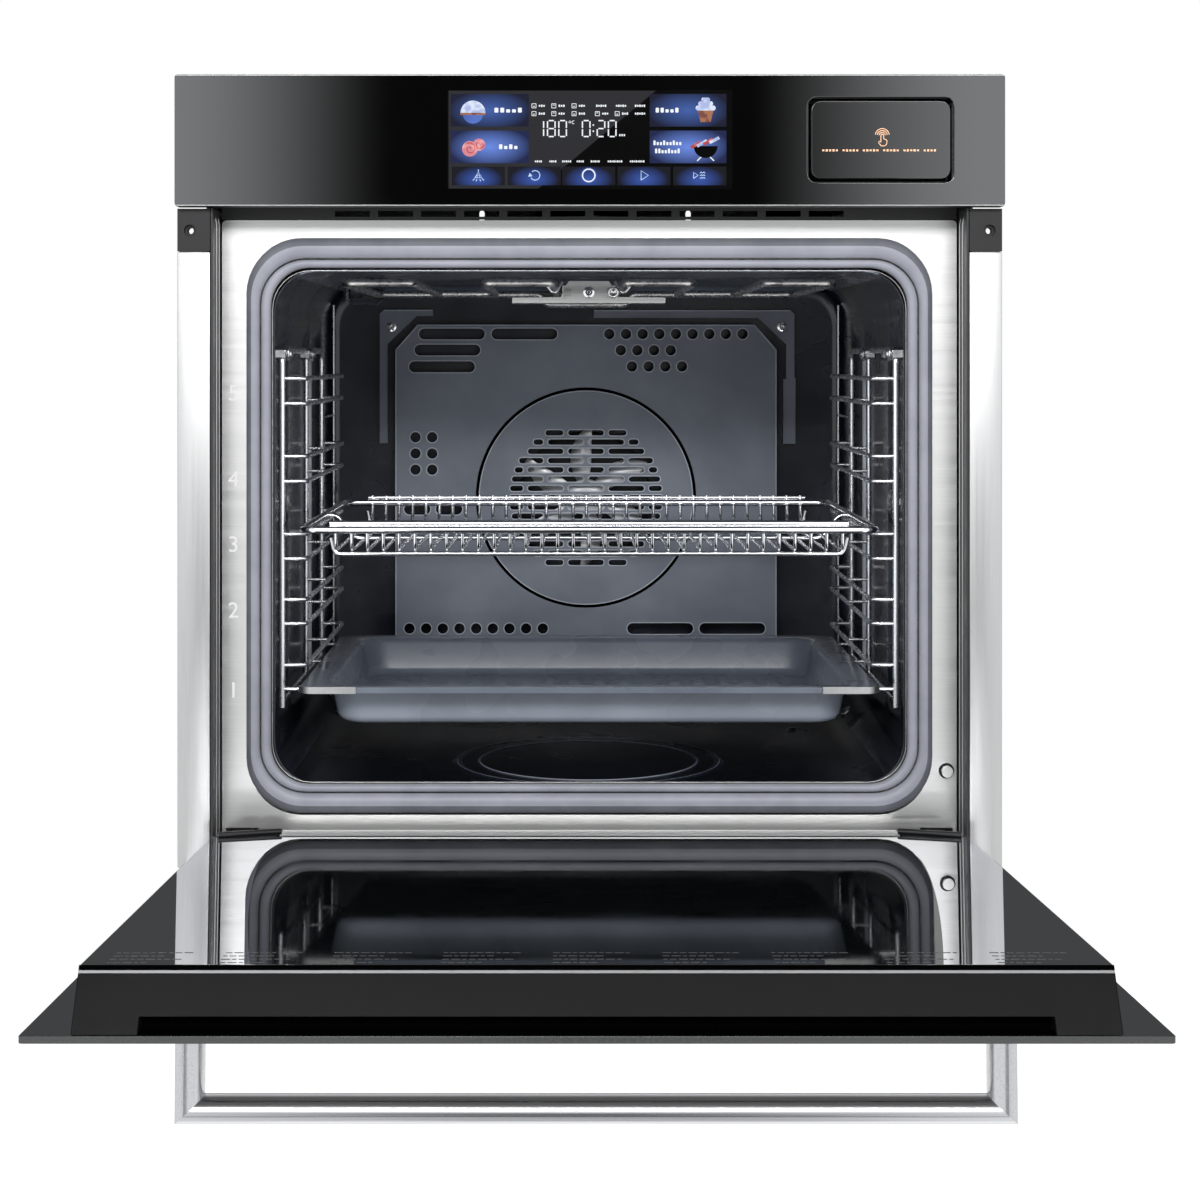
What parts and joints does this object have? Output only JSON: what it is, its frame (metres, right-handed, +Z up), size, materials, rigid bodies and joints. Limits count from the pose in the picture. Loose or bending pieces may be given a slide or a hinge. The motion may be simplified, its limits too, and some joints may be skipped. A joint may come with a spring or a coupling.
{
  "type": "built-in wall oven",
  "caption": "Built-in electric wall oven with a steam water tank, drop-down glass door, shelf ladders, wire rack and baking tray.",
  "frame": {"origin": "on the underside of the base plate, on the centre line, 260 mm behind the face of the steel front frame", "axes": "+X to the right as the user faces the oven, +Y to the rear, +Z up"},
  "size_m": [0.595, 1.0201, 0.6107],
  "materials": {
    "casing_steel": "galvanised",
    "front_steel": "brushed",
    "trim_steel": "satin",
    "bracket_steel": "plain",
    "handle_steel": "brushed",
    "chrome_wire": "polished",
    "enamel": "gloss enamel",
    "tray_enamel": "gloss enamel",
    "seal": "silicone",
    "panel_glass": "back-painted glass",
    "display": "glowing",
    "door_glass": "tinted",
    "middle_glass": "clear",
    "lamp_glass": "clear",
    "black_plastic": "satin",
    "door_cap": "satin black",
    "dark_metal": "satin black",
    "heater_sheath": "heated steel",
    "board": "circuit board",
    "wool": "mineral wool",
    "hose": "silicone",
    "tank_plastic": "clear plastic",
    "motor_steel": "plain"
  },
  "bodies": {
    "casing": {"base_plate": "casing_steel", "side_panel_left": "casing_steel", "side_panel_right": "casing_steel", "top_cover": "casing_steel", "rear_cover": "casing_steel", "front_frame": "front_steel", "side_trim_left": "trim_steel", "side_trim_right": "trim_steel", "mounting_block_left": "black_plastic", "mounting_block_right": "black_plastic", "groove_seal_left": "black_plastic", "groove_seal_right": "black_plastic", "vent_grille": "dark_metal", "fascia_glass": "panel_glass", "fascia_housing": "dark_metal", "display_module": "display", "control_board": "board", "tank_sleeve": "black_plastic", "water_pump": "black_plastic", "steam_generator": "motor_steel", "water_hose": "hose", "cavity_liner": "enamel", "insulation": "wool", "door_seal": "seal", "fan_cover": "enamel", "ring_heater": "heater_sheath", "fan_motor": "motor_steel", "grill_element": "heater_sheath", "grill_bracket": "bracket_steel", "bottom_heater": "heater_sheath", "oven_lamp": "lamp_glass", "shelf_ladder_left": "chrome_wire", "shelf_ladder_right": "chrome_wire", "blower_housing": "casing_steel", "blower_motor": "motor_steel", "hinge_arm_left": "bracket_steel", "hinge_arm_right": "bracket_steel", "door_switch": "black_plastic", "terminal_block": "black_plastic"},
    "door": {"door_outer_glass": "door_glass", "door_middle_glass": "middle_glass", "door_inner_glass": "door_glass", "door_top_cap": "door_cap", "door_bottom_rail": "front_steel", "door_rail_left": "casing_steel", "door_rail_right": "casing_steel", "hinge_cover_left": "black_plastic", "hinge_cover_right": "black_plastic", "handle_bar": "handle_steel", "handle_post_left": "handle_steel", "handle_post_right": "handle_steel"},
    "rack": {"wire_rack": "chrome_wire"},
    "tray": {"baking_tray": "tray_enamel"},
    "tank": {"water_tank": "tank_plastic", "tank_cover": "panel_glass"},
    "fan": {"convection_fan": "motor_steel"},
    "impeller": {"blower_impeller": "black_plastic"},
    "plunger": {"switch_plunger": "black_plastic"}
  },
  "joints": [
    {"name": "door_hinge", "type": "hinge", "parent": "casing", "child": "door", "pos_m": [0, -0.284, 0.0157], "axis": [-1, 0, 0], "range_deg": [0, 86.7]},
    {"name": "rack_slide", "type": "slide", "parent": "casing", "child": "rack", "axis": [0, 1, 0], "range_m": [-0.2, 0]},
    {"name": "tray_slide", "type": "slide", "parent": "casing", "child": "tray", "axis": [0, 1, 0], "range_m": [-0.3, 0]},
    {"name": "tank_slide", "type": "slide", "parent": "casing", "child": "tank", "axis": [0, 1, 0], "range_m": [-0.19, 0]},
    {"name": "fan_spin", "type": "hinge", "parent": "casing", "child": "fan", "pos_m": [0, 0.132, 0.25], "axis": [0, -1, 0], "continuous": true},
    {"name": "impeller_spin", "type": "hinge", "parent": "casing", "child": "impeller", "pos_m": [0, 0.125, 0.518], "axis": [0, 0, 1], "continuous": true},
    {"name": "plunger_press", "type": "slide", "parent": "casing", "child": "plunger", "axis": [0, 1, 0], "range_m": [0, 0.0025], "stiffness_N_per_m": 400, "springref_m": -0.002}
  ]
}
